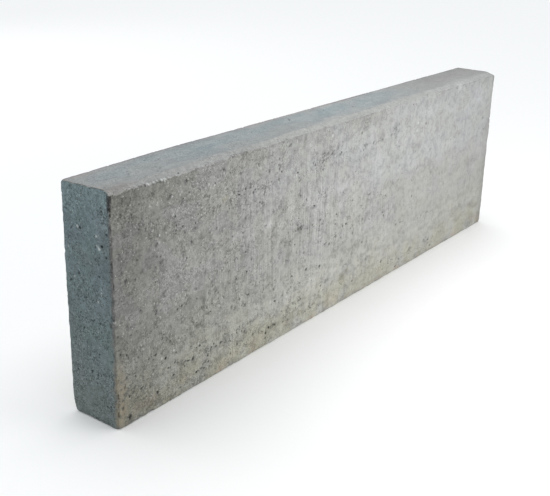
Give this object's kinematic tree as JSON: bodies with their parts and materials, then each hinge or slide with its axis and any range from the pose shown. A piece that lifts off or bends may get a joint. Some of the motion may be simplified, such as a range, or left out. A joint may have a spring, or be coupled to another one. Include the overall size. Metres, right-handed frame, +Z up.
{
  "type": "concrete kerb stone",
  "caption": "Straight precast concrete edging kerb of narrow upright section, with a shallow splay along its top front edge and small mould-rounded arrises.",
  "frame": {"origin": "middle of the base, on the ground plane the kerb stands on", "axes": "+X along the kerb's length, +Y from the exposed front face towards the back face, +Z up; the splayed top edge is on the -Y side"},
  "size_m": [1, 0.08, 0.3],
  "materials": {
    "concrete": "bare precast concrete, warm grey: fine sandy cast faces with faint upright mould streaks and small air holes, smoother bluish-grey pressed top and ends"
  },
  "bodies": {
    "root": {"kerb_stone": "concrete"}
  },
  "joints": []
}
